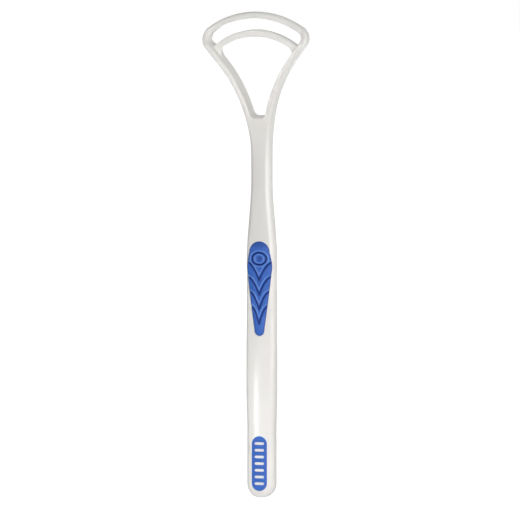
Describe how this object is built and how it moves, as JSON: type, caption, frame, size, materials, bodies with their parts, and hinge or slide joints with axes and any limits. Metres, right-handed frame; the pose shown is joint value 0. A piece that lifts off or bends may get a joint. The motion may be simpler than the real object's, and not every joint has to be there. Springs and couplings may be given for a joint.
{
  "type": "tongue scraper",
  "caption": "Hand tool with a flat handle and a leaning, fan-shaped open head of curved scraping bows, with a soft leaf-shaped thumb grip and a soft badge inlay at the tail.",
  "frame": {"origin": "on the ground under the middle of the part's box, at the tail's lower end, as it stands upright", "axes": "+Z from the tail to the head; +Y to the flat back of the handle, so the thumb side faces -Y; X across the head"},
  "size_m": [0.0388, 0.0118, 0.17],
  "materials": {
    "white_plastic": "glossy white polypropylene",
    "soft_blue": "satin blue soft-touch elastomer"
  },
  "bodies": {
    "root": {"handle": "white_plastic", "neck": "white_plastic", "left_arm": "white_plastic", "right_arm": "white_plastic", "outer_bow": "white_plastic", "inner_bow": "white_plastic", "thumb_grip": "soft_blue", "tail_badge": "soft_blue"}
  },
  "joints": []
}
